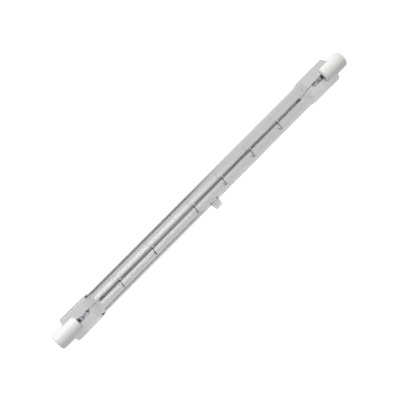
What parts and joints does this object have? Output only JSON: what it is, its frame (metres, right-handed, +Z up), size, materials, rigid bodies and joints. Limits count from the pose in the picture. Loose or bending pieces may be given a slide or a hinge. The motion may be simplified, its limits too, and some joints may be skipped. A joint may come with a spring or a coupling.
{
  "type": "linear halogen lamp",
  "caption": "Double-ended linear halogen lamp: a clear quartz tube pinched flat at its ends, a coiled filament on ring supports along its axis, and slotted ceramic caps.",
  "frame": {"origin": "on the lamp's axis, midway between its two contacts, which is also its centre of mass to within a tenth of a millimetre", "axes": "+X along the lamp, towards the end that its exhaust tip is slightly nearer to; +Z up as it lies on a table, rolled 28.5 degrees about its axis so that its exhaust tip touches; the tip points towards -Y and down"},
  "size_m": [0.189, 0.0143, 0.0114],
  "materials": {
    "fused_silica": "clear, fire-polished",
    "tungsten": "drawn wire, satin grey",
    "molybdenum": "drawn and rolled, satin",
    "steatite": "pressed and fired, unglazed, smooth",
    "cement": "matt, fine-grained",
    "nickel": "plated, satin"
  },
  "bodies": {
    "root": {"quartz_envelope": "fused_silica", "filament": "tungsten", "filament_support_1": "tungsten", "filament_support_2": "tungsten", "filament_support_3": "tungsten", "filament_support_4": "tungsten", "filament_support_5": "tungsten", "filament_support_6": "tungsten", "inner_lead_left": "molybdenum", "inner_lead_right": "molybdenum", "foil_left": "molybdenum", "foil_right": "molybdenum", "outer_lead_left": "molybdenum", "outer_lead_right": "molybdenum", "cement_left": "cement", "cement_right": "cement", "ceramic_cap_left": "steatite", "ceramic_cap_right": "steatite", "contact_left": "nickel", "contact_right": "nickel"}
  },
  "joints": []
}
